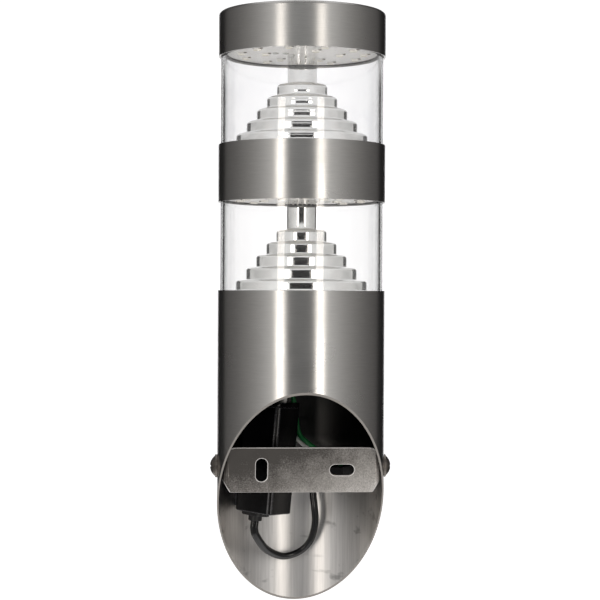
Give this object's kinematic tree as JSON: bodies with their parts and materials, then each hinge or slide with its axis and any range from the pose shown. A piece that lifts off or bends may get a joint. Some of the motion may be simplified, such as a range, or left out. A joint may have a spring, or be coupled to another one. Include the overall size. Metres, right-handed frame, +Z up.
{
  "type": "outdoor wall light",
  "caption": "Leaning round steel wall light with clear windows round stepped mirror reflectors, a slanted open foot and a swinging wall bracket inside it.",
  "frame": {"origin": "middle of the slanted rim that lies on the wall", "axes": "+Y into the wall, square to it; +Z up the wall; X along the wall, which is also the hinge line of the bracket. The room is on the -Y side"},
  "size_m": [0.0824, 0.1641, 0.265],
  "materials": {
    "tube_steel": "brushed along the tube, satin",
    "clear_window": "clear, polished",
    "mirror_coat": "mirror coat on moulded plastic",
    "board_white": "white solder mask on an aluminium board",
    "led_yellow": "yellow phosphor, unlit",
    "resistor_black": "matte ceramic",
    "solder_grey": "dull solder",
    "seal_black": "matte",
    "cast_aluminium": "turned",
    "plated_steel": "bright zinc plate",
    "screw_steel": "satin stainless",
    "bracket_steel": "dull mottled plate with bright cut edges",
    "driver_black": "glossy moulded",
    "foam_grey": "foam tape",
    "board_green": "green solder mask",
    "tape_yellow": "taped winding",
    "sleeve_blue": "shrink sleeve",
    "lead_black": "smooth jacket",
    "wire_white": "smooth",
    "wire_green": "smooth",
    "wire_red": "smooth",
    "block_black": "moulded",
    "brass_screw": "bright"
  },
  "bodies": {
    "lamp": {"lower_tube": "tube_steel", "middle_band": "tube_steel", "top_cap": "tube_steel", "lower_window": "clear_window", "upper_window": "clear_window", "lower_gaskets": "seal_black", "upper_gaskets": "seal_black", "lower_reflector": "mirror_coat", "upper_reflector": "mirror_coat", "lower_led_board": "board_white", "upper_led_board": "board_white", "lower_board_ring": "seal_black", "upper_board_ring": "seal_black", "lower_leds": "led_yellow", "upper_leds": "led_yellow", "lower_resistors": "resistor_black", "upper_resistors": "resistor_black", "lower_solder": "solder_grey", "upper_solder": "solder_grey", "tube_bulkhead": "cast_aluminium", "band_carrier": "cast_aluminium", "cap_carrier": "cast_aluminium", "tie_rod": "plated_steel", "tie_nuts": "plated_steel", "tie_washer": "plated_steel", "wire_grommets": "seal_black", "side_screws": "screw_steel", "screw_washers": "screw_steel", "driver_case": "driver_black", "driver_cover": "driver_black", "driver_pad": "foam_grey", "driver_board": "board_green", "driver_transformer": "tape_yellow", "driver_capacitors": "sleeve_blue", "lead_gland": "driver_black", "driver_lead": "lead_black", "white_wire": "wire_white", "earth_wire": "wire_green", "output_wires": "wire_red", "link_wires": "wire_red", "terminal_block": "block_black", "terminal_screws": "plated_steel", "terminal_pad": "foam_grey", "earth_terminal": "plated_steel", "earth_screw": "brass_screw"},
    "bracket": {"wall_bracket": "bracket_steel", "bracket_nuts": "plated_steel"}
  },
  "joints": [
    {"name": "bracket_swing", "type": "hinge", "parent": "lamp", "child": "bracket", "pos_m": [0, -0.00959, 0.01306], "axis": [1, 0, 0], "range_deg": [-21.3, 60]}
  ]
}
